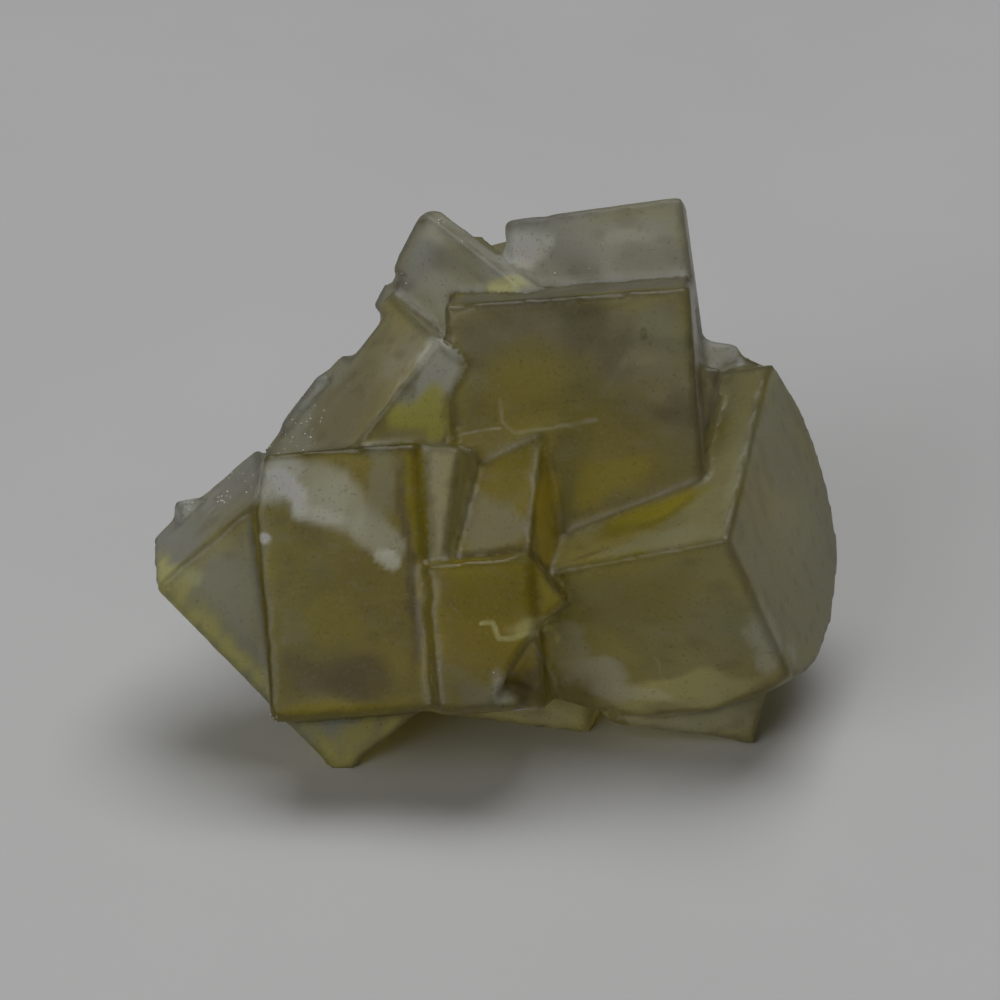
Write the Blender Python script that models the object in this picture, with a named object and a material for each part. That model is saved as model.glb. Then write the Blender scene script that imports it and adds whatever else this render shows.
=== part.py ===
"""Raw fluorite: a hand-sized cluster of cubic crystals grown into one another.

The crystals are laid out in the cluster's growth frame, in millimetres: x to the right, y away
from the front faces and z up. Each is a cube or a block with faces at right angles, given by the
place of one corner, its edge lengths and its turn about x, y and z. Fluorite cleaves across its
cubes' corners, so a broken corner is a flat face across the cube's diagonal. The joined cluster
leans back as it lies, and its broken foot is flat where it rests.
"""
import math

import bmesh
import bpy
from mathutils import Euler, Matrix, Vector

MM = 0.001

# How the cluster lies.
LEAN_DEG = 28.0         # the front faces look up by this much
FOOT_DEPTH = 21.6       # from the growth frame's origin down to the surface it rests on

# Edges, corners and the joining of the crystals.
EDGE_WEAR = 0.14        # width of the worn flat along a crystal's edges
WELD = 0.001            # points closer than this are one point
ROUND_STEPS = 28        # flats around a curved break
FOOT_BLOCK = 80.0       # block that takes away what is below the foot

# Material.
FLUORITE_COLOUR = (0.30, 0.27, 0.10, 1.0)
FLUORITE_ROUGHNESS = 0.25
FLUORITE_IOR = 1.434
FLUORITE_CLEARNESS = 0.8

# Crystals, in millimetres in the growth frame:
# name, the corner that is placed, its place, edge lengths, turn in degrees.
FRONT_CRYSTALS = (
    ("left_block", "left front top", (-17.9, 0.6, 3.2), (12.0, 14.0, 19.2), (-2, -4.5, -3)),
    ("middle_foot", "right front top", (2.2, -1.2, -3.9), (7.6, 12.0, 10.8), (-3, -5, -2)),
    ("middle_wedge", "right front top", (5.0, -0.8, -7.2), (4.5, 9.0, 5.5), (-2, 51, 1)),
    ("middle_cube", "right front top", (2.1, -1.2, -3.7), (7.3, 12.0, 7.0), (61, -5, -21)),
    ("seam_splinter", "left front top", (-6.6, 1.6, 4.2), (4.0, 8.0, 14.0), (-6, 6, -16)),
    ("right_cube", "right front top", (16.1, -3.6, -2.8), (21.0, 24.0, 22.0), (39.6, -10.2, -22)),
    ("right_block", "right front top", (16.2, 4.4, 9.5), (12.0, 6.0, 14.0), (2, 14, -3)),
    ("upper_block", "left front top", (-4.1, 2.5, 14.0), (17.8, 10.0, 18.0), (9, -4, -5)),
    ("back_block", "left front top", (0.2, 8.0, 20.4), (13.2, 9.0, 16.0), (2, -7.5, -4)),
    ("peak_cube", "left front top", (-5.9, 9.0, 21.3), (14.0, 2.5, 9.0), (12.0, 36.0, -26.0)),
    ("slope_cube", "left front top", (-4.4, 1.5, 11.3), (8.0, 11.0, 15.0), (25.5, 30.4, 36.1)),
    ("left_cube", "left front top", (-24.9, 2.6, -6.4), (10.6, 10.6, 20.4), (26.5, -39.4, -12.0)),
    ("right_foot", "right front bottom", (18.9, 11.8, -18.1), (11.5, 9.0, 9.0), (20, 8, 14)),
    ("small_back_cube", "right front top", (18.0, 14.0, 11.5), (9.0, 8.0, 9.0), (0, 8, 0)),
)
HIDDEN_CRYSTALS = (
    ("core", "left front top", (-12.0, 6.7, 6.0), (27.0, 15.0, 20.0), (8, -6, 4)),
    ("back_foot", "left front top", (-9.0, 11.4, -3.4), (17.0, 15.0, 15.0), (24, 9, -12)),
    ("heart", "left front top", (-12.4, 4.6, 3.3), (17.6, 11.2, 12.4), (0, -5, 0)),
    ("back_left", "left front top", (-13.0, 12.0, 1.5), (13.0, 12.0, 13.0), (14, -18, 26)),
    ("back_right", "right front top", (15.0, 12.0, 8.0), (13.0, 13.0, 14.0), (-10, 12, -24)),
    ("back_top", "left front top", (-4.0, 12.0, 15.0), (12.0, 11.0, 12.0), (18, -12, 12)),
    ("peak_back", "left front top", (-5.8, 10.6, 18.8), (13.0, 8.0, 10.0), (12.0, 36.0, -26.0)),
    ("left_bump", "left front top", (-23.6, 9.4, -0.4), (4.4, 4.2, 4.2), (5, -8, 10)),
    ("slope_bump", "left front top", (-13.3, 10.0, 9.3), (3.6, 5.0, 5.0), (8, 38, 0)),
)

# Curved breaks: centre and radii of the rounded form that is left of a crystal.
CURVED_BREAKS = {
    "right_cube": (
        ((10.2, 8.0, -2.6), (19.0, 20.0, 15.8)),
        ((10.9, 8.0, 3.6), (21.0, 19.5, 19.4)),
    ),
    "left_block": (
        ((-7.9, 7.0, -6.5), (10.15, 30.0, 25.0)),
    ),
}

# Corners broken off along the cleavage: crystal, corner, depth of the break in millimetres.
CLEAVED_CORNERS = (
    ("peak_cube", "left front top", 0.5),
    ("left_block", "left front bottom", 0.5),
    ("back_block", "left front top", 0.35),
    ("back_block", "left back top", 2.2),
    ("upper_block", "right front top", 0.25),
    ("core", "right back bottom", 3.2),
    ("core", "left back bottom", 2.6),
    ("back_left", "left back top", 1.8),
    ("back_right", "right back top", 1.5),
    ("back_top", "right back top", 1.2),
    ("small_back_cube", "right front top", 0.3),
)

# Chips broken out of the joined cluster: place, edge lengths, turn in degrees.
CHIPS = (
    ((2.6, -2.0, -13.0), (3.6, 5.0, 5.0), (38, 30, 12)),
    ((5.2, 0.0, -14.6), (4.0, 5.0, 5.0), (-30, 52, 20)),
    ((-8.0, 10.0, 16.4), (1.2, 9.0, 0.9), (0, 28, 0)),
    ((-5.0, 11.0, 23.9), (9.5, 12.0, 5.0), (0, 3, 0)),
    ((3.4, 9.0, 20.9), (0.6, 6.0, 0.6), (0, 38, 0)),
    ((-10.9, 9.0, 12.8), (3.0, 20.0, 4.0), (0, 38, 0)),
    ((19.0, 9.4, 12.4), (9.0, 9.0, 5.0), (0, -9, 0)),
)

SIDES = {"left": -1, "right": 1, "front": -1, "back": 1, "bottom": -1, "top": 1}


def corner_signs(words):
    """'left front top' -> (-1, -1, 1)."""
    return Vector([SIDES[word] for word in words.split()])


def remove_objects():
    for item in list(bpy.data.objects):
        bpy.data.objects.remove(item, do_unlink=True)


def object_from_bmesh(name, bm):
    mesh = bpy.data.meshes.new(name)
    bm.to_mesh(mesh)
    bm.free()
    item = bpy.data.objects.new(name, mesh)
    bpy.context.collection.objects.link(item)
    return item


def crystal_frame(corner, place, size, turn):
    """Matrix from a crystal's own axes, centred on it, to the growth frame."""
    rotation = Euler([math.radians(angle) for angle in turn]).to_matrix().to_4x4()
    to_corner = Vector([sign * length / 2 for sign, length in zip(corner_signs(corner), size)])
    return Matrix.Translation(Vector(place)) @ rotation @ Matrix.Translation(-to_corner)


def cleave(bm, size, corner, depth):
    """Breaks a corner off with the plane across the cube's diagonal, depth under the corner."""
    diagonal = corner_signs(corner).normalized()
    tip = Vector([sign * length / 2 for sign, length in zip(corner_signs(corner), size)])
    cut = bmesh.ops.bisect_plane(
        bm,
        geom=bm.verts[:] + bm.edges[:] + bm.faces[:],
        plane_co=tip - diagonal * depth,
        plane_no=diagonal,
        clear_outer=True,
    )
    rim = [item for item in cut["geom_cut"] if isinstance(item, bmesh.types.BMEdge)]
    bmesh.ops.contextual_create(bm, geom=rim)


def add_crystal(name, corner, place, size, turn):
    """One crystal with broken corners and worn edges, closed, in the growth frame."""
    bm = bmesh.new()
    bmesh.ops.create_cube(bm, size=1.0)
    bmesh.ops.scale(bm, vec=Vector(size), verts=bm.verts)
    for crystal_name, broken_corner, depth in CLEAVED_CORNERS:
        if crystal_name == name:
            cleave(bm, size, broken_corner, depth)
    bmesh.ops.bevel(bm, geom=bm.edges[:], offset=EDGE_WEAR, segments=1, affect="EDGES")
    bmesh.ops.transform(bm, matrix=crystal_frame(corner, place, size, turn), verts=bm.verts)
    return object_from_bmesh(name, bm)


def add_round_form(name, centre, radii):
    """The rounded form that a curved break leaves."""
    bm = bmesh.new()
    bmesh.ops.create_uvsphere(bm, u_segments=ROUND_STEPS, v_segments=ROUND_STEPS // 2, radius=1.0)
    bmesh.ops.scale(bm, vec=Vector(radii), verts=bm.verts)
    bmesh.ops.translate(bm, vec=Vector(centre), verts=bm.verts)
    return object_from_bmesh(name, bm)


def combine(base, tools, operation):
    """Boolean of the base with each tool in turn. The base gets the result; the tools go."""
    for tool in tools:
        step = base.modifiers.new(tool.name, "BOOLEAN")
        step.operation = operation
        step.solver = "EXACT"
        step.object = tool
    view_layer = bpy.context.evaluated_depsgraph_get()
    result = bpy.data.meshes.new_from_object(base.evaluated_get(view_layer))
    base.modifiers.clear()
    base.data = result
    for tool in tools:
        bpy.data.objects.remove(tool, do_unlink=True)


def weld(item):
    """Joins points that the Booleans left almost on top of each other."""
    bm = bmesh.new()
    bm.from_mesh(item.data)
    bmesh.ops.remove_doubles(bm, verts=bm.verts, dist=WELD)
    bmesh.ops.dissolve_degenerate(bm, edges=bm.edges, dist=WELD)
    bm.to_mesh(item.data)
    bm.free()


def chip_out(cluster):
    """Takes the chips out of the joined cluster."""
    cutters = []
    for place, size, turn in CHIPS:
        bm = bmesh.new()
        bmesh.ops.create_cube(bm, size=1.0)
        rotation = Euler([math.radians(angle) for angle in turn]).to_matrix().to_4x4()
        shape = Matrix.Translation(Vector(place)) @ rotation @ Matrix.Diagonal((*size, 1))
        bmesh.ops.transform(bm, matrix=shape, verts=bm.verts)
        cutters.append(object_from_bmesh("chip", bm))
    combine(cluster, cutters, "DIFFERENCE")


def cut_foot(cluster):
    """Takes away what is below the surface that the cluster rests on."""
    bm = bmesh.new()
    bmesh.ops.create_cube(bm, size=FOOT_BLOCK)
    down = Vector((0, 0, -FOOT_DEPTH - FOOT_BLOCK / 2))
    bmesh.ops.translate(bm, vec=down, verts=bm.verts)
    combine(cluster, [object_from_bmesh("below_foot", bm)], "DIFFERENCE")


def stand_on_origin(cluster):
    """Puts the middle of the footprint over the origin and the foot at z = 0."""
    across = [point.co.x for point in cluster.data.vertices]
    along = [point.co.y for point in cluster.data.vertices]
    middle = Vector(((min(across) + max(across)) / 2, (min(along) + max(along)) / 2, -FOOT_DEPTH))
    cluster.data.transform(Matrix.Translation(-middle))


def give_material(cluster):
    """Olive-yellow, see-through fluorite."""
    fluorite = bpy.data.materials.new("fluorite")
    fluorite.use_nodes = True
    shader = fluorite.node_tree.nodes["Principled BSDF"]
    shader.inputs["Base Color"].default_value = FLUORITE_COLOUR
    shader.inputs["Roughness"].default_value = FLUORITE_ROUGHNESS
    shader.inputs["Metallic"].default_value = 0.0
    shader.inputs["IOR"].default_value = FLUORITE_IOR
    shader.inputs["Transmission Weight"].default_value = FLUORITE_CLEARNESS
    cluster.data.materials.clear()
    cluster.data.materials.append(fluorite)


def main():
    remove_objects()
    crystals = []
    for row in FRONT_CRYSTALS + HIDDEN_CRYSTALS:
        crystal = add_crystal(*row)
        for centre, radii in CURVED_BREAKS.get(crystal.name, ()):
            combine(crystal, [add_round_form("round_form", centre, radii)], "INTERSECT")
        crystals.append(crystal)
    cluster = crystals[0]
    combine(cluster, crystals[1:], "UNION")
    cluster.name = "fluorite_cluster"
    chip_out(cluster)
    cluster.data.transform(Matrix.Rotation(-math.radians(LEAN_DEG), 4, "X"))
    cut_foot(cluster)
    weld(cluster)
    stand_on_origin(cluster)
    cluster.data.transform(Matrix.Scale(MM, 4))
    give_material(cluster)
    return cluster


main()
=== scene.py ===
"""Raw fluorite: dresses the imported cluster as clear, zoned, olive-yellow crystal.

Lengths in the tables are millimetres in the cluster's growth frame: x to the right, y away from
the front faces, z up. The cluster leans back from that frame as it lies.
"""

import math

import bmesh
import bpy
import numpy as np
from mathutils import Euler, Matrix, Vector
from mathutils.kdtree import KDTree


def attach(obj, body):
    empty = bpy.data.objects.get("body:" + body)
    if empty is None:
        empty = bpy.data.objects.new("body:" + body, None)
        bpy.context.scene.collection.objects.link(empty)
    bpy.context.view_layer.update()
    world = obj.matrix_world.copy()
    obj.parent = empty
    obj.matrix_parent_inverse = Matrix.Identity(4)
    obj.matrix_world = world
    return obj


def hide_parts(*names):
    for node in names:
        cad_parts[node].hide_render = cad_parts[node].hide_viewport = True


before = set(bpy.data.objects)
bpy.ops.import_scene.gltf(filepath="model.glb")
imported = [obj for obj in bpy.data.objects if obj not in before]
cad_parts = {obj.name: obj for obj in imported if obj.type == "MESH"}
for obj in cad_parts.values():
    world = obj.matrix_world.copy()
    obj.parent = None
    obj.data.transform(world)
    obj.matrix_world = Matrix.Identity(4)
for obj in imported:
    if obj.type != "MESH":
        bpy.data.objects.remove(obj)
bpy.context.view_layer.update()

MM = 0.001
FAR = 1e9               # farther than anything measured here
WELD_M = 2e-7           # corners of the solid nearer than this are one
LEAN_DEG = 28.0
GROWTH_ORIGIN = (0.000074, -0.01132, 0.0216)

# Crystals: name, placed corner, its place, edge lengths, turn in degrees.
CRYSTALS = (
    ("left_block", "left front top", (-17.9, 0.6, 3.2), (12.0, 14.0, 19.2), (-2, -4.5, -3)),
    ("middle_foot", "right front top", (2.2, -1.2, -3.9), (7.6, 12.0, 10.8), (-3, -5, -2)),
    ("middle_wedge", "right front top", (5.0, -0.8, -7.2), (4.5, 9.0, 5.5), (-2, 51, 1)),
    ("middle_cube", "right front top", (2.1, -1.2, -3.7), (7.3, 12.0, 7.0), (61, -5, -21)),
    ("seam_splinter", "left front top", (-6.6, 1.6, 4.2), (4.0, 8.0, 14.0), (-6, 6, -16)),
    ("right_cube", "right front top", (16.1, -3.6, -2.8), (21.0, 24.0, 22.0), (39.6, -10.2, -22)),
    ("right_block", "right front top", (16.2, 4.4, 9.5), (12.0, 6.0, 14.0), (2, 14, -3)),
    ("upper_block", "left front top", (-4.1, 2.5, 14.0), (17.8, 10.0, 18.0), (9, -4, -5)),
    ("back_block", "left front top", (0.2, 8.0, 20.4), (13.2, 9.0, 16.0), (2, -7.5, -4)),
    ("peak_cube", "left front top", (-5.9, 9.0, 21.3), (14.0, 2.5, 9.0), (12.0, 36.0, -26.0)),
    ("slope_cube", "left front top", (-4.4, 1.5, 11.3), (8.0, 11.0, 15.0), (25.5, 30.4, 36.1)),
    ("left_cube", "left front top", (-24.9, 2.6, -6.4), (10.6, 10.6, 20.4), (26.5, -39.4, -12.0)),
    ("right_foot", "right front bottom", (18.9, 11.8, -18.1), (11.5, 9.0, 9.0), (20, 8, 14)),
    ("small_back_cube", "right front top", (18.0, 14.0, 11.5), (9.0, 8.0, 9.0), (0, 8, 0)),
    ("core", "left front top", (-12.0, 6.7, 6.0), (27.0, 15.0, 20.0), (8, -6, 4)),
    ("back_foot", "left front top", (-9.0, 11.4, -3.4), (17.0, 15.0, 15.0), (24, 9, -12)),
    ("back_left", "left front top", (-13.0, 12.0, 1.5), (13.0, 12.0, 13.0), (14, -18, 26)),
    ("back_right", "right front top", (15.0, 12.0, 8.0), (13.0, 13.0, 14.0), (-10, 12, -24)),
    ("back_top", "left front top", (-4.0, 12.0, 15.0), (12.0, 11.0, 12.0), (18, -12, 12)),
    ("peak_back", "left front top", (-5.8, 10.6, 18.8), (13.0, 8.0, 10.0), (12.0, 36.0, -26.0)),
    ("left_bump", "left front top", (-23.6, 9.4, -0.4), (4.4, 4.2, 4.2), (5, -8, 10)),
    ("slope_bump", "left front top", (-13.3, 10.0, 9.3), (3.6, 5.0, 5.0), (8, 38, 0)),
)
SIDES = {"left": -1, "right": 1, "front": -1, "back": 1, "bottom": -1, "top": 1}
NUMBER = {row[0]: number for number, row in enumerate(CRYSTALS)}
TIE_MM = 1e-4           # of crystals as near as this, the first in the list owns the place

# Colours, linear.
OLIVE = (0.150, 0.118, 0.030)
OLIVE_GREY = (0.160, 0.143, 0.095)
YELLOW = (0.25, 0.200, 0.013)
PALE_YELLOW = (0.50, 0.475, 0.24)
LEMON = (0.50, 0.46, 0.11)
STRAW = (0.44, 0.40, 0.15)
BROWN = (0.085, 0.062, 0.030)
ORANGE_BROWN = (0.30, 0.220, 0.022)
DEEP_YELLOW = (0.142, 0.108, 0.005)
DARK_OLIVE = (0.060, 0.050, 0.018)
MILK = (0.40, 0.385, 0.33)
GREY = (0.22, 0.21, 0.16)
CHALK = (0.75, 0.74, 0.70)
DUST = (0.37, 0.37, 0.37)
FROST = (0.62, 0.61, 0.58)

FLOOR_DARK = (0.46, 0.46, 0.46)
FLOOR_LIGHT = (0.52, 0.52, 0.52)

# A clear stone shows darker than its surface colour, so all its tones are lifted by this.
LIFT = np.array((1.84, 1.97, 1.95))
PALEST = 0.95

# Tone, haze (0 clear to 1 frosted) and strength of the yellow rims of each crystal.
# The yellow rims are partly colour zoning, partly painted light that the crystals' edges refract.
TONES = {
    "left_block": ((0.150, 0.110, 0.007), 0.25, 0.35),
    "middle_foot": ((0.150, 0.113, 0.010), 0.20, 0.3),
    "middle_wedge": ((0.200, 0.165, 0.033), 0.20, 0.2),
    "middle_cube": ((0.145, 0.113, 0.034), 0.35, 0.2),
    "seam_splinter": ((0.240, 0.227, 0.165), 0.55, 0.1),
    "right_cube": ((0.196, 0.176, 0.078), 0.35, 0.3),
    "right_block": ((0.175, 0.158, 0.120), 0.45, 0.2),
    "upper_block": ((0.110, 0.098, 0.072), 0.25, 0.3),
    "back_block": ((0.285, 0.268, 0.262), 0.70, 0.2),
    "peak_cube": ((0.350, 0.332, 0.318), 0.55, 0.25),
    "slope_cube": ((0.260, 0.236, 0.180), 0.45, 0.3),
    "left_cube": ((0.236, 0.220, 0.198), 0.45, 0.35),
    "right_foot": ((0.360, 0.340, 0.262), 0.35, 0.3),
    "left_bump": ((0.360, 0.350, 0.330), 0.60, 0.0),
    "slope_bump": ((0.300, 0.290, 0.270), 0.60, 0.0),
    # Painted light: the back foot's pale tone lightens it where it lies in shade under the
    # cluster.
    "back_foot": ((0.600, 0.550, 0.380), 0.40, 0.3),
    "core": ((0.420, 0.380, 0.260), 0.40, 0.3),
    "small_back_cube": ((0.460, 0.440, 0.460), 0.70, 0.1),
}
PLAIN_TONE = ((0.200, 0.180, 0.095), 0.40, 0.25)

# The middle of the cluster is deeper yellow, its outside paler and greyer.
WARM_MIDDLE = (2.5, 6.0, -1.0)
WARM_RADII = (15.0, 16.0, 14.0)
WARM_TONE = (0.200, 0.148, 0.010)
COOL_TONE = (0.230, 0.215, 0.160)
WARM_LIMITS = (1.15, 0.45)      # in radii: where the warm tone ends, and where it is full
WARM_BEND = 0.12                # in radii: how far its border wanders
WARM_SHARE = 0.45
COOL_SHARE = 0.18

# Uneven fields are sums of waves, each somewhat shorter or longer than the field's features.
WAVES = 9
WAVE_PER_FEATURE = 2.2
WAVE_SPREAD = (0.7, 1.5)

# The fields: the size of their features in millimetres, and a seed.
NICKS = (1.1, 3)
SMALL_NICKS = (0.6, 4)
WARM_FIELD = (4, 11)
DRIFT = (6, 12)
MOTTLE = (1.7, 13)
RIM_FIELD = (7, 14)
FINE = (0.5, 15)
CLOUD_BENDS = ((2.4, 16), (2.4, 17))
LINE_BENDS = ((0.8, 18), (0.8, 19))
LINE_FIELD = (0.9, 20)
SPOTTING = (0.9, 21)

# How far, in millimetres, those fields bend the rims, the patches and the lines.
RIM_BEND = 0.18
CLOUD_BEND = 0.36
CLOUD_FRAY = 0.12
LINE_BEND = 0.06

# Rims, patches and lines: where each fades out, and where it is full.
RIM_FADE = (1.7, 0.7)           # millimetres from a crystal's edge
RIM_FIELD_LIMITS = (-1.0, 0.8)
PATCH_FADE = (1.18, 0.6)        # radii from a patch's middle
LINE_FADE = (0.7, 0.25)         # widths from a line's middle
LINE_FIELD_LIMITS = (-1.2, 1.0)
LINE_FAINTEST = 0.45
FRONT_FADE = (15.0, 11.0)       # y, in millimetres
EDGE_FADE = (0.65, 0.10)        # millimetres from a crease
PATCH_HAZE = 0.5                # haze that a milky patch adds

# Soft patches inside the crystals, some of them painted light and shade: crystals, middle, radii,
# turn in degrees, colour, strength.
PATCHES = (
    # left block: brown zone low down, dark strip on top, milky cloud
    (("left_block",), (-11.2, -12.5), (5.6, 1.8), -2, BROWN, 0.55),
    (("left_block",), (-10.1, -12.7), (3.6, 1.2), -2, BROWN, 0.40),
    (("left_block",), (-10.1, 3.7), (4.4, 0.9), 4, DARK_OLIVE, 0.65),
    (("left_block",), (-11.5, -7.2), (3.5, 3.2), 0, OLIVE, 0.55),
    (("left_block",), (-15.8, 1.6), (1.6, 1.9), -50, FROST, 0.62),
    (("left_block",), (-16.4, 2.0), (0.6, 0.8), -50, GREY, 0.45),
    (("left_block",), (-13.5, 0.9), (2.9, 1.7), -22, MILK, 0.60),
    (("left_block",), (-11.2, -0.6), (2.9, 1.6), -38, MILK, 0.60),
    (("left_block",), (-8.8, -2.5), (2.2, 1.6), -50, MILK, 0.60),
    (("left_block",), (-8.3, 1.4), (1.5, 3.4), 0, GREY, 0.60),
    (("left_block",), (-15.0, 0.7), (2.3, 0.9), -50, CHALK, 0.60),
    (("left_block",), (-13.0, -0.9), (2.4, 0.6), -12, FROST, 0.40),
    (("left_block",), (-8.4, -4.3), (1.0, 0.8), -35, CHALK, 0.45),
    (("left_block",), (-17.0, -2.7), (0.45, 0.5), 0, CHALK, 0.80),
    (("left_block", "seam_splinter"), (-6.5, -4.3), (0.45, 8.4), 4, BROWN, 0.80),
    (("left_block",), (-16.7, -10.1), (1.1, 4.6), 2, DEEP_YELLOW, 0.65),
    (("left_block",), (-11.5, -15.0), (5.4, 0.6), 2, YELLOW, 0.55),
    (("left_block",), (-12.2, -8.5), (2.8, 1.8), 0, YELLOW, 0.45),
    # middle cube and what is under it
    (("middle_cube",), (0.0, 3.6), (3.2, 1.4), 0, DEEP_YELLOW, 0.70),
    (("middle_cube",), (-0.7, -1.4), (2.8, 2.0), -20, GREY, 0.55),
    (("middle_cube", "upper_block", "core"), (3.5, -1.6), (0.9, 3.2), 8, ORANGE_BROWN, 0.70),
    (("middle_foot",), (0.0, -6.8), (3.6, 2.2), 0, DEEP_YELLOW, 0.50),
    (("middle_foot", "right_cube", "middle_wedge"), (2.3, -9.1), (1.9, 0.7), 8, PALE_YELLOW, 0.40),
    (("middle_cube",), (-0.4, -3.7), (3.0, 0.5), 0, BROWN, 0.50),
    (("middle_foot",), (0.0, -13.7), (3.4, 1.3), 0, GREY, 0.45),
    (("middle_foot",), (-0.1, -13.3), (0.9, 1.4), 25, MILK, 0.55),
    (("middle_foot",), (1.9, -13.1), (0.7, 2.0), -30, BROWN, 0.80),
    # upper block
    (("upper_block",), (5.0, 14.4), (9.0, 0.9), 3, DARK_OLIVE, 0.35),
    (("upper_block",), (3.6, 7.6), (5.6, 3.8), 10, YELLOW, 0.32),
    (("upper_block",), (11.5, 10.8), (2.6, 3.0), 20, GREY, 0.35),
    (("upper_block",), (7.9, 1.4), (4.2, 1.9), 15, YELLOW, 0.55),
    (("upper_block",), (10.3, 11.9), (0.35, 0.5), 0, DARK_OLIVE, 0.60),
    # right cube
    (("right_cube", "right_block"), (16.8, 3.2), (6.0, 1.2), 65, OLIVE_GREY, 0.50),
    (("right_cube", "right_block"), (17.6, 2.3), (5.4, 0.6), 65, GREY, 0.45),
    (("right_cube",), (11.2, -3.2), (4.6, 0.7), 13, GREY, 0.40),
    # Painted shade: deeper yellow on the top of the right cube, darkening what the light from
    # above brightens.
    (("right_cube",), (10.1, -0.6), (4.6, 1.4), 19, DEEP_YELLOW, 0.85),
    (("right_cube",), (10.7, -0.5), (3.4, 0.6), 19, YELLOW, 0.50),
    (("right_cube",), (6.0, -1.3), (1.6, 1.1), 0, GREY, 0.30),
    (("right_cube",), (10.1, -7.2), (4.4, 2.2), 10, OLIVE, 0.45),
    (("right_cube",), (19.1, -10.1), (1.2, 2.6), 20, MILK, 0.55),
    (("right_cube",), (13.7, -13.9), (6.2, 1.2), 12, PALE_YELLOW, 0.32),
    (("right_cube",), (24.3, -5.2), (0.9, 2.2), 0, MILK, 0.55),
    (("right_cube",), (21.6, 1.4), (1.6, 5.5), 8, OLIVE_GREY, 0.30),
    (("right_cube",), (7.2, -13.1), (3.0, 1.3), -20, MILK, 0.72),
    (("right_cube",), (10.4, -14.2), (2.6, 0.5), -16, MILK, 0.55),
    # Painted light: a milky patch that lightens the shaded low left corner of the right cube.
    (("right_cube", "middle_wedge"), (5.2, -10.8), (1.6, 1.6), 0, MILK, 0.50),
    # left cube
    (("left_cube",), (-21.2, -7.9), (1.6, 3.6), 40, GREY, 0.60),
    (("left_cube",), (-12.4, -16.6), (3.0, 1.5), 0, DUST, 0.75),
    (("left_cube",), (-22.8, -5.6), (1.8, 0.9), 20, PALE_YELLOW, 0.50),
    # slope
    # Painted light: the slope's bright facet, pale above and lemon below, lit by light that comes
    # through the slope.
    (("slope_cube",), (-4.5, 8.9), (3.6, 2.1), 60, FROST, 0.75),
    (("slope_cube",), (-5.5, 6.3), (2.6, 1.5), 50, LEMON, 0.95),
    (("slope_cube",), (-14.0, 6.3), (4.0, 1.8), 50, DUST, 0.22),
    (("slope_cube",), (-3.7, 6.3), (0.5, 1.4), 0, ORANGE_BROWN, 0.55),
    (("slope_cube",), (-10.8, 7.2), (2.4, 4.2), -40, OLIVE, 0.45),
    # peak and back blocks
    (("peak_cube",), (0.6, 15.6), (1.9, 1.0), 0, PALE_YELLOW, 0.95),
    (("peak_cube",), (-3.2, 17.1), (2.0, 1.6), 0, OLIVE, 0.35),
    (("back_block",), (1.4, 18.5), (2.0, 1.9), 0, FROST, 0.90),
    (("back_block",), (9.4, 19.1), (2.2, 0.6), 8, MILK, 0.40),
    (("back_block",), (10.8, 17.1), (2.4, 1.4), 0, OLIVE_GREY, 0.40),
)

# Growth lines, cracks and broad bands, some of them painted light and shade: crystals, width,
# strength, colour, points.
STROKES = (
    (
        ("upper_block",), 0.30, 0.34, MILK,
        ((0.0, 7.2), (0.2, 5.8), (0.9, 4.9), (3.6, 5.2), (6.8, 5.8)),
    ),
    (("upper_block",), 0.19, 0.30, MILK, ((-4.0, 14.4), (-4.1, 11.8))),
    (("upper_block",), 0.48, 0.25, GREY, ((10.4, 11.9), (8.9, 9.8), (7.2, 7.6))),
    (("upper_block", "middle_cube"), 0.19, 0.45, MILK, ((-3.6, 4.5), (-1.8, 4.9), (0.0, 5.2))),
    (
        ("middle_foot", "middle_wedge", "right_cube"), 0.34, 0.70, PALE_YELLOW,
        ((-1.4, -8.8), (-0.6, -8.8), (0.0, -9.9), (1.4, -9.7), (3.6, -9.2), (4.3, -10.2)),
    ),
    (("middle_foot", "right_cube"), 0.26, 0.45, MILK, ((2.5, -10.4), (3.7, -12.6), (4.5, -14.8))),
    (
        ("middle_foot", "middle_wedge", "middle_cube"), 0.64, 0.70, BROWN,
        ((2.2, -3.7), (4.9, -7.2)),
    ),
    # Painted shadow: a dark line in the re-entrant corner between the middle cube and the right
    # cube.
    (("right_cube",), 0.22, 0.55, BROWN, ((3.5, -4.9), (7.6, -3.5))),
    (("right_cube",), 0.13, 0.60, MILK, ((23.0, 4.7), (22.5, 3.0), (21.6, 1.8))),
    (("right_cube",), 0.13, 0.60, MILK, ((23.0, -0.6), (24.3, -2.9))),
    (("right_cube",), 0.13, 0.45, MILK, ((11.2, -11.5), (12.2, -13.7))),
    (("right_cube",), 0.26, 0.80, CHALK, ((24.0, 0.7), (24.3, 0.0))),
    # Painted light: a broad straw band along the left cube's lower edges, standing for light
    # refracted through them.
    (
        ("left_cube",), 2.8, 0.95, STRAW,
        ((-24.8, -5.3), (-20.7, -10.4), (-16.6, -15.0), (-12.3, -19.3), (-7.5, -15.0)),
    ),
    (("slope_cube",), 0.16, 0.45, MILK, ((-4.5, 11.4), (-7.3, 8.3), (-9.9, 4.5))),
)

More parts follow.
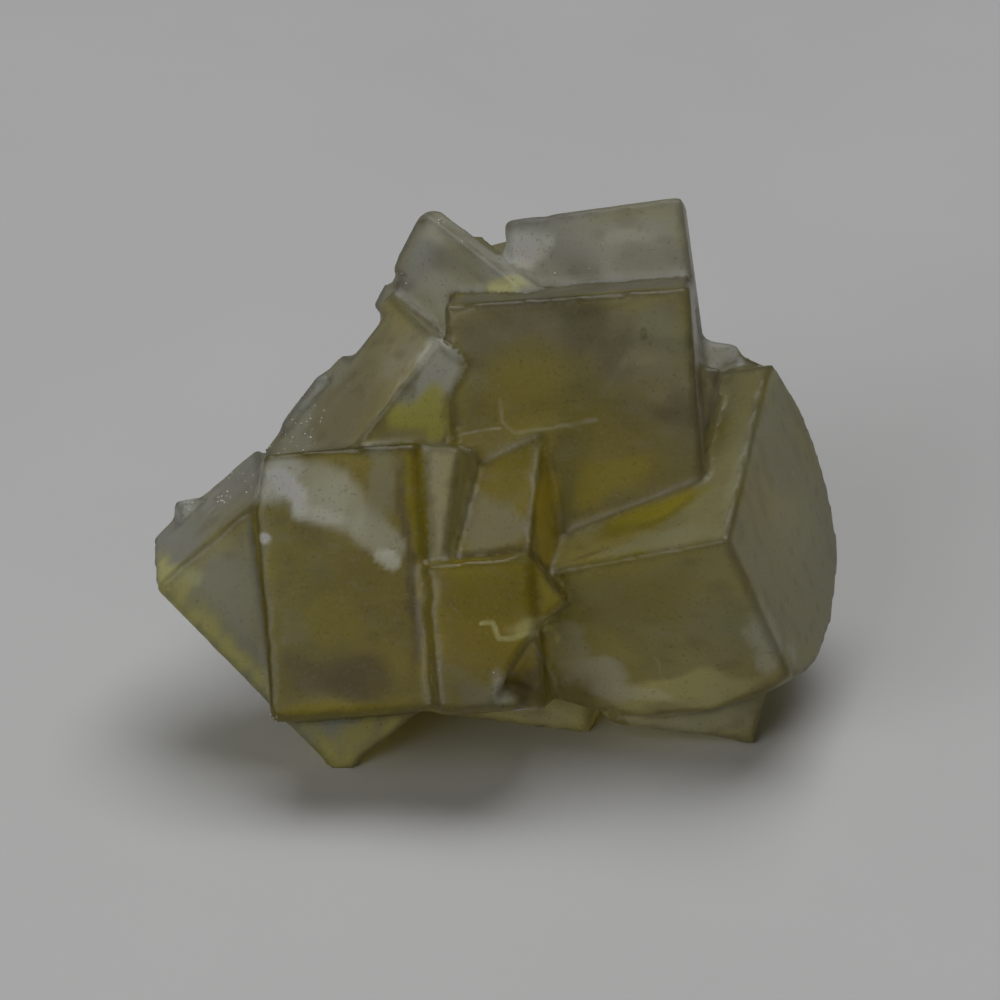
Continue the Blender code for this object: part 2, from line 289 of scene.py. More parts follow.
# Places with white grains: middle, radii, depth range, share of the surface that has them.
GRAINS = (
    ((-14.4, 6.1), (1.4, 2.8), (2.0, 16.0), 0.40),
    ((-15.8, 4.3), (1.6, 1.2), (2.0, 16.0), 0.20),
    ((-18.7, 1.4), (1.3, 1.2), (2.0, 16.0), 0.15),
    ((-20.0, 0.1), (0.6, 0.5), (0.0, 16.0), 1.0),
    ((-22.8, -0.5), (0.5, 0.5), (6.0, 16.0), 0.9),
    ((-4.2, 20.4), (0.4, 0.3), (6.0, 16.0), 1.0),
    ((-2.6, 18.8), (0.6, 0.6), (6.0, 16.0), 0.8),
    ((-7.2, 16.7), (0.6, 0.8), (6.0, 18.0), 0.5),
    ((-16.7, -15.5), (0.9, 0.4), (0.0, 12.0), 0.6),
    ((1.9, -15.3), (1.0, 0.35), (-4.0, 8.0), 1.0),
    ((6.8, -16.4), (0.5, 0.3), (-4.0, 12.0), 0.9),
    ((4.0, 16.6), (3.2, 1.0), (6.0, 12.0), 0.08),
    ((0.0, -13.0), (0.7, 1.3), (-4.0, 8.0), 0.15),
)
GRAIN_SIZE = (0.03, 0.17)
GRAINS_PER_MM2 = 5.0
GRAIN_SEED = 7
LUMP_RADIUS = 0.5       # of a grain's size
CUBE_SIDE = 0.8         # of a grain's size
GRAIN_TURN = 6.28       # radians

# Outer surface, in millimetres: the even remesh, then the longest sides of its triangles.
EVEN_STEP = 0.37
BACK_STEP = 0.8
FACE_STEP = 0.8
EDGE_STEP = 0.34
LINE_STEP = 0.19
EDGE_REACH = 0.3        # how near a crease the triangles are small
LINE_REACH = 0.2        # the same beside a growth line, past its width
BROAD_LINE = 1.0        # lines this broad need no small triangles
CREASE_DEG = 12.0       # edges that turn less than this lie inside a face
SLIVER_AREA = 0.002     # square millimetres
FLOOR_CLEARANCE = 0.03
FRONT_DEPTH = 11.0      # y up to which the front is kept fine
SPLIT_ROUNDS = 40       # at most

# Worn edges, in millimetres.
WEAR_REACH = 0.55
FOOT_HEIGHT = 0.5       # below this the foot keeps its shape
NICK_DEPTH = 0.22
NICK_REACH = 0.35
NICK_START = 0.7        # value of the uneven field at which a nick begins
NICK_LIMIT = 1.2
SMALL_NICK_SHARE = 0.5
SMOOTHING_ROUNDS = 5
SMOOTHING_SHARE = 0.5
EDGE_SHADE = 0.40       # painted shade: how much darker the stone is painted along its edges and seams

# The stone as a clear solid.
STONE_IOR = 1.434
STONE_CLEARNESS = 0.64
STONE_SHEEN = 0.15
ABSORPTION_COLOUR = (0.85, 0.74, 0.08, 1.0)
ABSORPTION_PER_M = 60.0
CLEAR_ROUGHNESS = 0.24
HAZE_ROUGHNESS = 0.35   # added where the haze is full

# Its fine grain and relief. Noise: features per millimetre, detail, roughness. Flecks: two
# values of the noise, and how strongly the other colour shows at each.
FINE_NOISE = (3.6, 1.0, 0.6)
PALE_FLECKS = (0.58, 0.80, 0.0, 0.30)
DARK_FLECKS = (0.42, 0.20, 0.0, 0.40)
STEP_NOISE = (1.0, 1.0, 0.6)
STEP_STRETCH = (0.25, 1.9, 2.2)     # growth steps run along the crystal's own x
STEP_HEIGHT = 0.030                 # millimetres
FINE_HEIGHT = 0.010
RELIEF_STRENGTH = 0.5

# Grains and floor.
GRAIN_NOISE = (5.0, 3.0, 0.55)
GRAIN_ROUGHNESS = (0.3, 0.7, 0.25, 0.6)
FLOOR_NOISE = (0.02, 3.0, 0.55)
FLOOR_ROUGHNESS = 0.75

# Studio. Lamps: name, place, what it faces, sides in metres, watts.
LAMPS = (
    ("sky_panel", (0.10, 0.18, 1.00), (0, 0, 0.01), (0.85, 0.85), 7.2),
    ("front_fill", (-0.35, -0.45, 0.35), (0, 0, 0.02), (0.4, 0.4), 1.4),
)
HORIZON_LIGHT = 0.62
ZENITH_LIGHT = 0.95
HORIZON_HEIGHT = -0.1   # z of the direction in which the light is weakest
ZENITH_HEIGHT = 0.9     # and of that in which it is strongest
FLOOR_SIDE = 6.0        # metres
CAMERA_DISTANCE = 0.340
CAMERA_NEAR = 0.01
CAMERA_LENS = 171.4     # millimetres
CAMERA_SENSOR = 36.0


def lean_matrix():
    """The turn from the row frame to the growth frame."""
    return Matrix.Rotation(math.radians(LEAN_DEG), 3, "X")


def growth_points(points):
    """Points in metres in the row frame -> millimetres in the growth frame."""
    moved = (np.asarray(points) - np.array(GROWTH_ORIGIN)) / MM
    return moved @ np.array(lean_matrix()).T


def row_points(points):
    """Points in millimetres in the growth frame -> metres in the row frame."""
    return points @ np.array(lean_matrix()) * MM + np.array(GROWTH_ORIGIN)


def crystal_axes(row):
    """(centre, 3x3 turn, half lengths) of a crystal in the growth frame."""
    _name, words, place, lengths, turn = row
    turned = np.array(Euler([math.radians(angle) for angle in turn]).to_matrix())
    half = np.array(lengths) / 2
    signs = np.array([SIDES[word] for word in words.split()])
    return np.array(place) - turned @ (signs * half), turned, half


def crystal_place(points, row):
    """Points of the growth frame in a crystal's own axes, from its middle."""
    centre, turned, _half = crystal_axes(row)
    return (points - centre) @ turned


def nearest_crystal(points):
    """Number of the crystal whose surface is nearest to each point."""
    best = np.full(len(points), FAR)
    owner = np.zeros(len(points), dtype=int)
    for number, row in enumerate(CRYSTALS):
        over = np.abs(crystal_place(points, row)) - crystal_axes(row)[2]
        outside = np.linalg.norm(np.maximum(over, 0), axis=1)
        gap = np.abs(outside + np.minimum(over.max(axis=1), 0))
        nearer = gap < best - TIE_MM
        best[nearer] = gap[nearer]
        owner[nearer] = number
    return owner


# ---------------------------------------------------------------- the outer surface


def line_gap(points, line):
    """Distance of growth-frame points from a line of (x, z) places, seen from the front."""
    gap = np.full(len(points), FAR)
    seen = points[:, [0, 2]]
    for start, end in zip(line, line[1:]):
        start, along = np.array(start), np.array(end) - np.array(start)
        share = np.clip((seen - start) @ along / (along @ along), 0, 1)
        gap = np.minimum(gap, np.linalg.norm(seen - start - share[:, None] * along, axis=1))
    return gap


def edge_keys(pairs, count):
    """One number for each pair of vertices, the same in both directions."""
    pairs = np.sort(pairs, axis=1)
    return pairs[:, 0] * count + pairs[:, 1]


def welded(mesh):
    """A bmesh of the mesh with its doubled corners merged."""
    bm = bmesh.new()
    bm.from_mesh(mesh)
    bmesh.ops.remove_doubles(bm, verts=bm.verts, dist=WELD_M)
    return bm


def crease_tree(node):
    """Places along the edges where the node's surface turns, to find the nearest one."""
    bm = welded(node.data)
    places = []
    for edge in bm.edges:
        small = min(face.calc_area() for face in edge.link_faces) < SLIVER_AREA * MM**2
        if small or math.degrees(edge.calc_face_angle(0)) < CREASE_DEG:
            continue
        start, end = (vertex.co.copy() for vertex in edge.verts)
        pieces = max(1, round((end - start).length / (EDGE_STEP * MM)))
        places.extend(start.lerp(end, step / pieces) for step in range(pieces + 1))
    bm.free()
    tree = KDTree(len(places))
    for number, place in enumerate(places):
        tree.insert(place, number)
    tree.balance()
    return tree


def crease_gaps(points, tree):
    """Distance of points in metres from the nearest crease, in millimetres."""
    return np.array([tree.find(point)[2] for point in points]) / MM


def wanted_steps(points, gap):
    """The longest side of a triangle wanted at each vertex, in millimetres."""
    front = points[:, 1] < FRONT_DEPTH
    steps = np.where(gap < EDGE_REACH, EDGE_STEP, FACE_STEP)
    steps[~front] = BACK_STEP
    for _crystals, width, _strength, _colour, line in STROKES:
        if width < BROAD_LINE:
            steps[(line_gap(points, line) < width + LINE_REACH) & front] = LINE_STEP
    return steps


def split_once(points, faces, gap):
    """Cuts the longest side of every triangle that is too big. None when all are small."""
    count = len(points)
    sides = np.stack((faces, np.roll(faces, -1, axis=1)), axis=2).reshape(-1, 2)
    _keys, first, back = np.unique(edge_keys(sides, count), return_index=True, return_inverse=True)
    pairs = sides[first]
    lengths = np.linalg.norm(points[pairs[:, 0]] - points[pairs[:, 1]], axis=1)
    steps = wanted_steps(points, gap)
    too_long = lengths > np.minimum(steps[pairs[:, 0]], steps[pairs[:, 1]])
    back = back.reshape(-1, 3)
    cut = np.zeros(len(pairs), dtype=bool)
    needy = too_long[back].any(axis=1)
    longest = lengths[back].argmax(axis=1)
    cut[back[needy, longest[needy]]] = True
    if not cut.any():
        return None
    new_points = (points[pairs[cut, 0]] + points[pairs[cut, 1]]) / 2
    new_gap = (gap[pairs[cut, 0]] + gap[pairs[cut, 1]]) / 2
    middle = np.full(len(pairs), -1)
    middle[cut] = count + np.arange(len(new_points))
    mids = middle[back]
    marks = (mids >= 0).sum(axis=1)
    made = [faces[marks == 0]]
    for wanted in (1, 2, 3):
        mine = marks == wanted
        corner, mid = faces[mine], mids[mine]
        # Each triangle is turned so that its one cut side, or its two, come first.
        turns = np.zeros(len(mid), dtype=int)
        if wanted == 1:
            turns = (mid >= 0).argmax(axis=1)
        if wanted == 2:
            turns = ((mid < 0).argmax(axis=1) + 1) % 3
        order = (turns[:, None] + np.arange(3)) % 3
        a, b, c = np.take_along_axis(corner, order, 1).T
        ab, bc, ca = np.take_along_axis(mid, order, 1).T
        if wanted == 1:
            parts = ((a, ab, c), (ab, b, c))
        elif wanted == 2:
            parts = ((ab, b, bc), (a, ab, bc), (a, bc, c))
        else:
            parts = ((a, ab, ca), (ab, b, bc), (ca, bc, c), (ab, bc, ca))
        made.extend(np.column_stack(part) for part in parts)
    points = np.concatenate((points, new_points))
    return points, np.concatenate(made), np.concatenate((gap, new_gap))


def applied_mesh(thing):
    """The mesh that the object's modifier makes. The object itself is removed."""
    depsgraph = bpy.context.evaluated_depsgraph_get()
    made = bpy.data.meshes.new_from_object(thing.evaluated_get(depsgraph))
    bpy.data.objects.remove(thing)
    return made


def even_mesh(node):
    """(points in metres, triangles) of the node's surface, remeshed evenly."""
    copy = bpy.data.objects.new("even_copy", node.data.copy())
    bpy.context.collection.objects.link(copy)
    bm = welded(copy.data)
    bm.to_mesh(copy.data)
    bm.free()
    corners = mesh_points(copy.data)
    low, high = corners.min(axis=0), corners.max(axis=0)
    remesh = copy.modifiers.new("even", "REMESH")
    remesh.mode = "VOXEL"
    remesh.voxel_size = EVEN_STEP * MM
    made = applied_mesh(copy)
    made.calc_loop_triangles()
    faces = np.empty(len(made.loop_triangles) * 3, dtype=int)
    made.loop_triangles.foreach_get("vertices", faces)
    low[2] += FLOOR_CLEARANCE * MM
    return np.clip(mesh_points(made), low, high), faces.reshape(-1, 3)


def refined_mesh(node):
    """(points in metres, triangles, gap from the creases), cut finely where needed."""
    points, faces = even_mesh(node)
    gap = crease_gaps(points, crease_tree(node))
    points = growth_points(points)
    for _round in range(SPLIT_ROUNDS):
        made = split_once(points, faces, gap)
        if made is None:
            break
        points, faces, gap = made
    return row_points(points), faces, gap


def ripple(points, size, seed):
    """A smooth, uneven field about 0, with features of that size in millimetres."""
    chance = np.random.default_rng(seed)
    field = np.zeros(len(points))
    for _wave in range(WAVES):
        way = chance.normal(size=3)
        length = WAVE_PER_FEATURE * size * np.linalg.norm(way)
        way *= chance.uniform(*WAVE_SPREAD) * 2 * math.pi / length
        field += np.sin(points @ way + chance.uniform(0, 2 * math.pi))
    return field / math.sqrt(WAVES / 2)


def mesh_points(mesh):
    """The mesh's vertices as rows of an array."""
    points = np.empty(len(mesh.vertices) * 3)
    mesh.vertices.foreach_get("co", points)
    return points.reshape(-1, 3)


def wear_edges(mesh, gap):
    """Rounds the crystals' edges and nicks them inward, clear of the flat foot."""
    points = mesh_points(mesh)
    normals = np.array([tuple(item.vector) for item in mesh.vertex_normals])
    ends = np.empty(len(mesh.edges) * 2, dtype=int)
    mesh.edges.foreach_get("vertices", ends)
    ends = ends.reshape(-1, 2)
    free = points[:, 2] > FOOT_HEIGHT * MM
    count = np.bincount(ends.ravel(), minlength=len(points))[:, None]
    worn = (gap < WEAR_REACH) & free
    rough = ripple(points / MM, *NICKS) + SMALL_NICK_SHARE * ripple(points / MM, *SMALL_NICKS)
    nick = NICK_DEPTH * np.clip(rough - NICK_START, 0, NICK_LIMIT)
    depth = nick * smooth_step(gap, NICK_REACH, 0.0) * free
    points -= normals * depth[:, None] * MM
    for _round in range(SMOOTHING_ROUNDS):
        total = np.zeros_like(points)
        for axis in range(3):
            total[:, axis] += np.bincount(ends[:, 0], points[ends[:, 1], axis], len(points))
            total[:, axis] += np.bincount(ends[:, 1], points[ends[:, 0], axis], len(points))
        moved = points + SMOOTHING_SHARE * (total / count - points)
        points[worn] = moved[worn]
    mesh.vertices.foreach_set("co", points.ravel())
    mesh.update()


def smooth_step(value, low, high):
    """0 at low and 1 at high, smooth between them. Low may be the larger."""
    share = np.clip((value - low) / (high - low), 0, 1)
    return share * share * (3 - 2 * share)


def paint(colour, share, other):
    """Blends rows of colour towards another colour by each row's share."""
    return colour + share[:, None] * (np.array(other) - colour)


def patch_share(points, middle, radii, turn):
    """1 inside an ellipse seen from the front, 0 outside, with a soft rim."""
    turn = math.radians(turn)
    across = points[:, 0] - middle[0]
    up = points[:, 2] - middle[1]
    along = (across * math.cos(turn) + up * math.sin(turn)) / radii[0]
    aside = (up * math.cos(turn) - across * math.sin(turn)) / radii[1]
    return smooth_step(np.hypot(along, aside), *PATCH_FADE)


def bent_points(points, amount, across_field, up_field):
    """Points moved unevenly across and up, so that what is drawn with them isn't ruled."""
    bent = points.copy()
    bent[:, 0] += amount * ripple(points, *across_field)
    bent[:, 2] += amount * ripple(points, *up_field)
    return bent


def on_crystals(owner, crystals):
    """Whether each row belongs to one of the named crystals."""
    return np.isin(owner, [NUMBER[name] for name in crystals])


def crystal_colours(points, owner, place, half):
    """Tone and haze of every corner, without patches and lines."""
    colour = np.zeros((len(points), 3))
    haze = np.zeros(len(points))
    rims = np.zeros(len(points))
    for number, row in enumerate(CRYSTALS):
        mine = owner == number
        colour[mine], haze[mine], rims[mine] = TONES.get(row[0], PLAIN_TONE)
    warm = np.linalg.norm((points - np.array(WARM_MIDDLE)) / np.array(WARM_RADII), axis=1)
    warm = smooth_step(warm + WARM_BEND * ripple(points, *WARM_FIELD), *WARM_LIMITS)
    colour = paint(colour, WARM_SHARE * warm, WARM_TONE)
    colour = paint(colour, COOL_SHARE * (1 - warm), COOL_TONE)
    drift = ripple(points, *DRIFT)
    mottle = ripple(points, *MOTTLE)
    spotting = ripple(points, *SPOTTING)
    # Uneven field, where it starts to show, where it is full, its strength there, its colour.
    for field, low, high, strength, shade in (
        (drift, 0.2, 1.8, 0.30, YELLOW),
        (mottle + 0.5 * drift, 0.6, 2.2, 0.25, BROWN),
        (-mottle, 0.6, 2.0, 0.16, GREY),
        (spotting, 0.9, 2.2, 0.30, BROWN),
        (-spotting, 0.9, 2.2, 0.20, GREY),
    ):
        colour = paint(colour, strength * smooth_step(field, low, high), shade)
    # Yellow rims along each crystal's edges: partly colour zoning, partly painted light refracted
    # through them.
    from_edge = np.sort(np.maximum(half - np.abs(place), 0), axis=1)[:, 1] + RIM_BEND * mottle
    uneven = smooth_step(ripple(points, *RIM_FIELD), *RIM_FIELD_LIMITS)
    return paint(colour, rims * uneven * smooth_step(from_edge, *RIM_FADE), YELLOW), haze


def zoned_colours(points, owner, place, half, from_crease):
    """Tone and haze of every corner: the crystal's own, then patches, lines and painted shade
    along the edges.
    """
    colour, haze = crystal_colours(points, owner, place, half)
    front = smooth_step(points[:, 1], *FRONT_FADE)
    bent = bent_points(points, CLOUD_BEND, *CLOUD_BENDS)
    bent[:, 0] += CLOUD_FRAY * ripple(points, *FINE)
    for crystals, middle, radii, turn, patch_colour, strength in PATCHES:
        # A patch with a radius under 1 mm is bent less, or it would break up.
        own_bent = points + min(1.0, *radii) * (bent - points)
        share = strength * patch_share(own_bent, middle, radii, turn)
        share *= front * on_crystals(owner, crystals)
        colour = paint(colour, share, patch_colour)
        if patch_colour in (MILK, CHALK, FROST):
            haze = haze + PATCH_HAZE * share
    bent = bent_points(points, LINE_BEND, *LINE_BENDS)
    uneven = smooth_step(ripple(points, *LINE_FIELD), *LINE_FIELD_LIMITS)
    fade_out, fade_in = LINE_FADE
    for crystals, width, strength, line_colour, line in STROKES:
        gap = line_gap(bent, line)
        share = strength * smooth_step(gap, fade_out * width, fade_in * width)
        share *= LINE_FAINTEST + (1 - LINE_FAINTEST) * uneven
        share *= front * on_crystals(owner, crystals)
        colour = paint(colour, share, line_colour)
    # Painted shade along every crease, so that the rounded edges don't catch light; at seams it
    # also stands for the darker joins.
    colour *= 1 - EDGE_SHADE * smooth_step(from_crease, *EDGE_FADE)[:, None]
    return np.clip(colour * LIFT, 0, PALEST), np.clip(haze, 0, 1)


def write_attributes(mesh, gap):
    """Writes each corner's place in its crystal, its tone and its haze."""
    count = len(mesh.polygons)
    points = growth_points(mesh_points(mesh))
    vertex_of = np.empty(len(mesh.loops), dtype=int)
    mesh.loops.foreach_get("vertex_index", vertex_of)
    corners = points[vertex_of]
    middles = corners.reshape(count, 3, 3).mean(axis=1)
    owner = np.repeat(nearest_crystal(middles), 3)
    place = np.zeros_like(corners)
    half = np.zeros_like(corners)
    for number, row in enumerate(CRYSTALS):
        mine = owner == number
        place[mine] = crystal_place(corners[mine], row)
        half[mine] = crystal_axes(row)[2]
    # The tone follows the crystal nearest to the corner itself, so that seams stay soft.
    own_tone = nearest_crystal(points)[vertex_of]
    colour, haze = zoned_colours(corners, own_tone, place, half, gap[vertex_of])
    tone = np.column_stack((colour, np.ones(len(colour))))
    for title, kind, key, values in (
        ("crystal_place", "FLOAT_VECTOR", "vector", place),
        ("crystal_tone", "FLOAT_COLOR", "color", tone),
        ("crystal_haze", "FLOAT", "value", haze),
    ):
        made = mesh.attributes.new(title, kind, "CORNER")
        made.data.foreach_set(key, values.ravel())


# ---------------------------------------------------------------- materials


def typed_socket(sockets, name, kind):
    """The socket of that name and type, where a node has several of one name."""
    return next(socket for socket in sockets if socket.name == name and socket.type == kind)


class Nodes:
    """Short ways to add and link nodes in one material."""

    def __init__(self, name):
        self.material = bpy.data.materials.new(name)
        self.material.use_nodes = True
        self.tree = self.material.node_tree
        self.shader = self.tree.nodes["Principled BSDF"]
        self.output = self.tree.nodes["Material Output"]

    def put(self, socket, value):
        """Links a socket to the value, or sets it."""
        if isinstance(value, bpy.types.NodeSocket):
            self.tree.links.new(value, socket)
        else:
            socket.default_value = value

    def calculate(self, operation, *values, kind="ShaderNodeMath"):
        """The first result of a math node with these values."""
        node = self.tree.nodes.new(kind)
        node.operation = operation
        for socket, value in zip(node.inputs, values):
            self.put(socket, value)
        return node.outputs[0]

    def range(self, value, low, high, to_low, to_high):
        """to_low where the value is low and to_high where it is high, smooth between them."""
        node = self.tree.nodes.new("ShaderNodeMapRange")
        node.interpolation_type = "SMOOTHSTEP"
        for title, given in (
            ("Value", value), ("From Min", low), ("From Max", high),
            ("To Min", to_low), ("To Max", to_high),
        ):
            self.put(node.inputs[title], given)
        return node.outputs[0]

    def mix(self, share, first, second):
        """Colour: first where share is 0, second where it is 1."""
        node = self.tree.nodes.new("ShaderNodeMix")
        node.data_type = "RGBA"
        self.put(node.inputs["Factor"], share)
        for title, value in (("A", first), ("B", second)):
            socket = typed_socket(node.inputs, title, "RGBA")
            self.put(socket, (*value, 1.0) if isinstance(value, tuple) else value)
        return typed_socket(node.outputs, "Result", "RGBA")

    def noise(self, vector, scale, detail, rough):
        """Noise around 0.5, where scale is features per millimetre."""
        node = self.tree.nodes.new("ShaderNodeTexNoise")
        self.put(node.inputs["Vector"], vector)
        self.put(node.inputs["Scale"], scale)
        self.put(node.inputs["Detail"], detail)
        self.put(node.inputs["Roughness"], rough)
        return node.outputs["Fac"]

    def attribute(self, name, out):
        """What write_attributes stored under that name."""
        node = self.tree.nodes.new("ShaderNodeAttribute")
        node.attribute_name = name
        return node.outputs[out]

    def growth_place(self):
        """Object coordinates as millimetres in the growth frame."""
        mapping = self.tree.nodes.new("ShaderNodeMapping")
        shift = lean_matrix() @ Vector(GROWTH_ORIGIN) / MM
        for title, value in (
            ("Rotation", (math.radians(LEAN_DEG), 0, 0)),
            ("Scale", (1 / MM, 1 / MM, 1 / MM)),
            ("Location", -shift),
            ("Vector", self.tree.nodes.new("ShaderNodeTexCoord").outputs["Object"]),
        ):
            self.put(mapping.inputs[title], value)
        return mapping.outputs[0]


def stone_material():
    """Clear stone that takes its tone and haze from the corners of the skin."""
    nodes = Nodes("fluorite_stone")
    shader = nodes.shader.inputs
    fine = nodes.noise(nodes.growth_place(), *FINE_NOISE)
    colour = nodes.attribute("crystal_tone", "Color")
    haze = nodes.attribute("crystal_haze", "Fac")
    colour = nodes.mix(nodes.range(fine, *PALE_FLECKS), colour, MILK)
    colour = nodes.mix(nodes.range(fine, *DARK_FLECKS), colour, BROWN)
    nodes.put(shader["Base Color"], colour)
    haze_roughness = nodes.calculate("MULTIPLY", haze, HAZE_ROUGHNESS)
    rough = nodes.calculate("ADD", haze_roughness, CLEAR_ROUGHNESS)
    nodes.put(shader["Roughness"], rough)
    nodes.put(shader["IOR"], STONE_IOR)
    nodes.put(shader["Transmission Weight"], STONE_CLEARNESS)
    nodes.put(shader["Specular IOR Level"], STONE_SHEEN)

    # Relief: growth steps along the crystal's own axes, and fine etching.
    own = nodes.attribute("crystal_place", "Vector")
    stretched = nodes.calculate("MULTIPLY", own, STEP_STRETCH, kind="ShaderNodeVectorMath")
    steps = nodes.calculate("MULTIPLY", nodes.noise(stretched, *STEP_NOISE), STEP_HEIGHT)
    etching = nodes.calculate("MULTIPLY", fine, FINE_HEIGHT)
    relief = nodes.tree.nodes.new("ShaderNodeBump")
    nodes.put(relief.inputs["Distance"], MM)
    nodes.put(relief.inputs["Strength"], RELIEF_STRENGTH)
    nodes.put(relief.inputs["Height"], nodes.calculate("ADD", steps, etching))
    nodes.put(shader["Normal"], relief.outputs[0])

    absorb = nodes.tree.nodes.new("ShaderNodeVolumeAbsorption")
    nodes.put(absorb.inputs["Color"], ABSORPTION_COLOUR)
    nodes.put(absorb.inputs["Density"], ABSORPTION_PER_M)
    nodes.put(nodes.output.inputs["Volume"], absorb.outputs[0])
    return nodes.material


def grain_material():
    """White to grey mineral dust."""
    nodes = Nodes("white_grains")
    shade = nodes.noise(nodes.growth_place(), *GRAIN_NOISE)
    nodes.put(nodes.shader.inputs["Base Color"], nodes.mix(shade, GREY, CHALK))
    nodes.put(nodes.shader.inputs["Roughness"], nodes.range(shade, *GRAIN_ROUGHNESS))
    return nodes.material


def floor_material():
    """A plain, pale, faintly uneven sheet."""
    nodes = Nodes("pale_floor")
    shade = nodes.noise(nodes.growth_place(), *FLOOR_NOISE)
    nodes.put(nodes.shader.inputs["Base Color"], nodes.mix(shade, FLOOR_DARK, FLOOR_LIGHT))
    nodes.put(nodes.shader.inputs["Roughness"], FLOOR_ROUGHNESS)
    return nodes.material


# ---------------------------------------------------------------- assembly


def dress_cluster():
    """The stone's outer surface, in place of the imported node. Returns it."""
    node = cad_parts["fluorite_cluster"]
    points, faces, gap = refined_mesh(node)
    mesh = bpy.data.meshes.new("cluster_skin")
    mesh.from_pydata(points, [], faces)
    wear_edges(mesh, gap)
    write_attributes(mesh, gap)
    mesh.shade_smooth()
    skin = bpy.data.objects.new("cluster_skin", mesh)
    bpy.context.collection.objects.link(skin)
    mesh.materials.append(stone_material())
    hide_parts("fluorite_cluster")
    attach(skin, "root")
    return skin


def grain_seats(skin):
    """The skin's triangles where white grains sit, as a mesh of their own."""
    points = growth_points(mesh_points(skin.data))
    faces = np.array([tuple(polygon.vertices) for polygon in skin.data.polygons])
    middles = points[faces].mean(axis=1)
    chosen = np.zeros(len(faces), dtype=bool)
    chance = np.random.default_rng(GRAIN_SEED).uniform(size=len(faces))
    for middle, radii, (nearest, farthest), share in GRAINS:
        across = (middles[:, 0] - middle[0]) / radii[0]
        up = (middles[:, 2] - middle[1]) / radii[1]
        inside = (np.hypot(across, up) < 1) & (middles[:, 1] > nearest)
        inside &= middles[:, 1] < farthest
        chosen |= inside & (chance < share)
    seats = bpy.data.meshes.new("grain_seats")
    used, back = np.unique(faces[chosen], return_inverse=True)
    seats.from_pydata(mesh_points(skin.data)[used], [], back.reshape(-1, 3))
    return seats


def grain_tree(material, grain_inputs):
    """Scatters small crystals and lumps over a mesh, as one mesh."""
    tree = bpy.data.node_groups.new("grain_scatter", "GeometryNodeTree")
    tree.is_modifier = True
    face = tree.interface
    face.new_socket("Geometry", in_out="INPUT", socket_type="NodeSocketGeometry")
    for title in grain_inputs:
        face.new_socket(title, in_out="INPUT", socket_type="NodeSocketFloat")
    face.new_socket("Geometry", in_out="OUTPUT", socket_type="NodeSocketGeometry")
    new, link = tree.nodes.new, tree.links.new
    given = new("NodeGroupInput").outputs
    spread = new("GeometryNodeDistributePointsOnFaces")
    spread.inputs["Seed"].default_value = GRAIN_SEED
    link(given["Geometry"], spread.inputs["Mesh"])
    link(given["Grains Per Square Metre"], spread.inputs["Density"])
    lump = new("GeometryNodeMeshIcoSphere")
    lump.inputs["Radius"].default_value = LUMP_RADIUS
    lump.inputs["Subdivisions"].default_value = 1
    cube = new("GeometryNodeMeshCube")
    cube.inputs["Size"].default_value = (CUBE_SIDE, CUBE_SIDE, CUBE_SIDE)
    kinds = new("GeometryNodeGeometryToInstance")
    link(lump.outputs["Mesh"], kinds.inputs["Geometry"])
    link(cube.outputs["Mesh"], kinds.inputs["Geometry"])
    place = new("GeometryNodeInstanceOnPoints")
    place.inputs["Pick Instance"].default_value = True
    link(spread.outputs["Points"], place.inputs["Points"])
    link(kinds.outputs["Instances"], place.inputs["Instance"])
    turn = new("FunctionNodeRandomValue")
    turn.data_type = "FLOAT_VECTOR"
    farthest_turn = typed_socket(turn.inputs, "Max", "VECTOR")
    farthest_turn.default_value = (GRAIN_TURN, GRAIN_TURN, GRAIN_TURN)
    link(typed_socket(turn.outputs, "Value", "VECTOR"), place.inputs["Rotation"])
    size = new("FunctionNodeRandomValue")
    size.data_type = "FLOAT"
    link(given["Smallest"], typed_socket(size.inputs, "Min", "VALUE"))
    link(given["Largest"], typed_socket(size.inputs, "Max", "VALUE"))
    link(typed_socket(size.outputs, "Value", "VALUE"), place.inputs["Scale"])
    solid = new("GeometryNodeRealizeInstances")
    link(place.outputs["Instances"], solid.inputs["Geometry"])
    coat = new("GeometryNodeSetMaterial")
    coat.inputs["Material"].default_value = material
    link(solid.outputs["Geometry"], coat.inputs["Geometry"])
    link(coat.outputs["Geometry"], new("NodeGroupOutput").inputs["Geometry"])
    return tree


def add_grains(skin):
    """White grains on the dusty slope, the peak and the broken places."""
    seats = bpy.data.objects.new("grain_seats", grain_seats(skin))
    bpy.context.collection.objects.link(seats)
    smallest, largest = GRAIN_SIZE
    grain_inputs = {
        "Grains Per Square Metre": GRAINS_PER_MM2 / MM**2,
        "Smallest": smallest * MM,
        "Largest": largest * MM,
    }
    scatter = seats.modifiers.new("scatter", "NODES")
    scatter.node_group = grain_tree(grain_material(), grain_inputs)
    for socket in scatter.node_group.interface.items_tree:
        if socket.name in grain_inputs:
            scatter[socket.identifier] = grain_inputs[socket.name]
    seats.update_tag()
    grains = bpy.data.objects.new("white_grains", applied_mesh(seats))
    bpy.context.collection.objects.link(grains)
    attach(grains, "root")


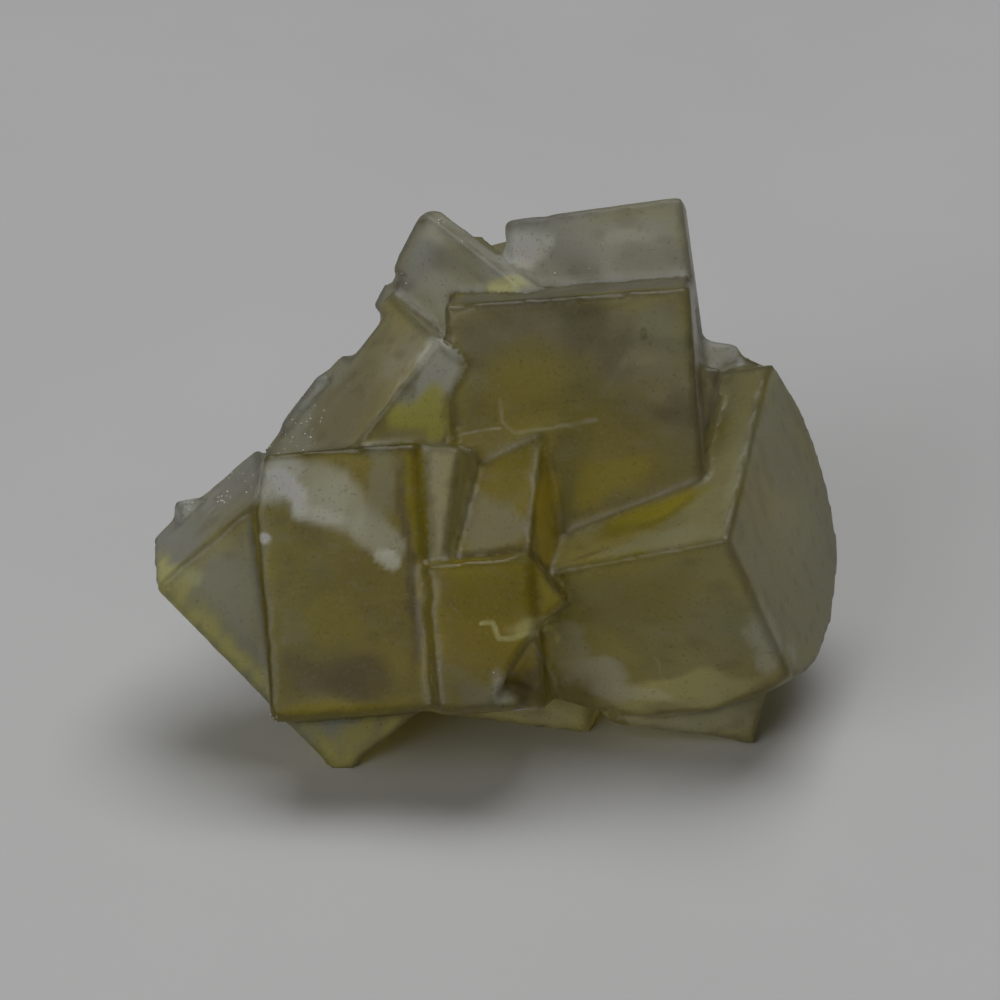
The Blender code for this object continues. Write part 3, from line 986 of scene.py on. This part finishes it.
def add_floor():
    """The pale sheet that the stone lies on."""
    bpy.ops.mesh.primitive_plane_add(size=FLOOR_SIDE, location=(0, 0, 0))
    floor = bpy.context.object
    floor.name = "floor"
    floor.data.materials.append(floor_material())


def add_lamp(name, place, aim, sides, watts):
    """A soft panel of light that faces a place."""
    data = bpy.data.lights.new(name, "AREA")
    data.shape = "RECTANGLE"
    data.size, data.size_y = sides
    data.energy = watts
    lamp = bpy.data.objects.new(name, data)
    bpy.context.collection.objects.link(lamp)
    lamp.location = place
    lamp.rotation_euler = (Vector(aim) - Vector(place)).to_track_quat("-Z", "Y").to_euler()


def add_camera():
    """A long lens that faces the growth frame's front, and so looks down on the floor."""
    tilt = math.radians(LEAN_DEG)
    data = bpy.data.cameras.new("camera")
    data.sensor_width = CAMERA_SENSOR
    data.lens = CAMERA_LENS
    data.clip_start = CAMERA_NEAR
    camera = bpy.data.objects.new("camera", data)
    bpy.context.collection.objects.link(camera)
    back = Vector((0, -math.cos(tilt), math.sin(tilt))) * CAMERA_DISTANCE
    camera.location = Vector(GROWTH_ORIGIN) + back
    camera.rotation_euler = (math.pi / 2 - tilt, 0, 0)
    bpy.context.scene.camera = camera


def add_world():
    """Soft light from above, weaker towards the horizon."""
    world = bpy.data.worlds.new("studio")
    bpy.context.scene.world = world
    world.use_nodes = True
    tree = world.node_tree
    parts = tree.nodes.new("ShaderNodeSeparateXYZ")
    height = tree.nodes.new("ShaderNodeMapRange")
    height.interpolation_type = "SMOOTHSTEP"
    for title, value in (
        ("From Min", HORIZON_HEIGHT), ("From Max", ZENITH_HEIGHT),
        ("To Min", HORIZON_LIGHT), ("To Max", ZENITH_LIGHT),
    ):
        height.inputs[title].default_value = value
    place = tree.nodes.new("ShaderNodeTexCoord").outputs["Generated"]
    tree.links.new(place, parts.inputs["Vector"])
    tree.links.new(parts.outputs["Z"], height.inputs["Value"])
    tree.links.new(height.outputs["Result"], tree.nodes["Background"].inputs["Strength"])


skin = dress_cluster()
add_grains(skin)
add_floor()
for lamp in LAMPS:
    add_lamp(*lamp)
add_camera()
add_world()
bpy.context.scene.view_settings.view_transform = "Standard"
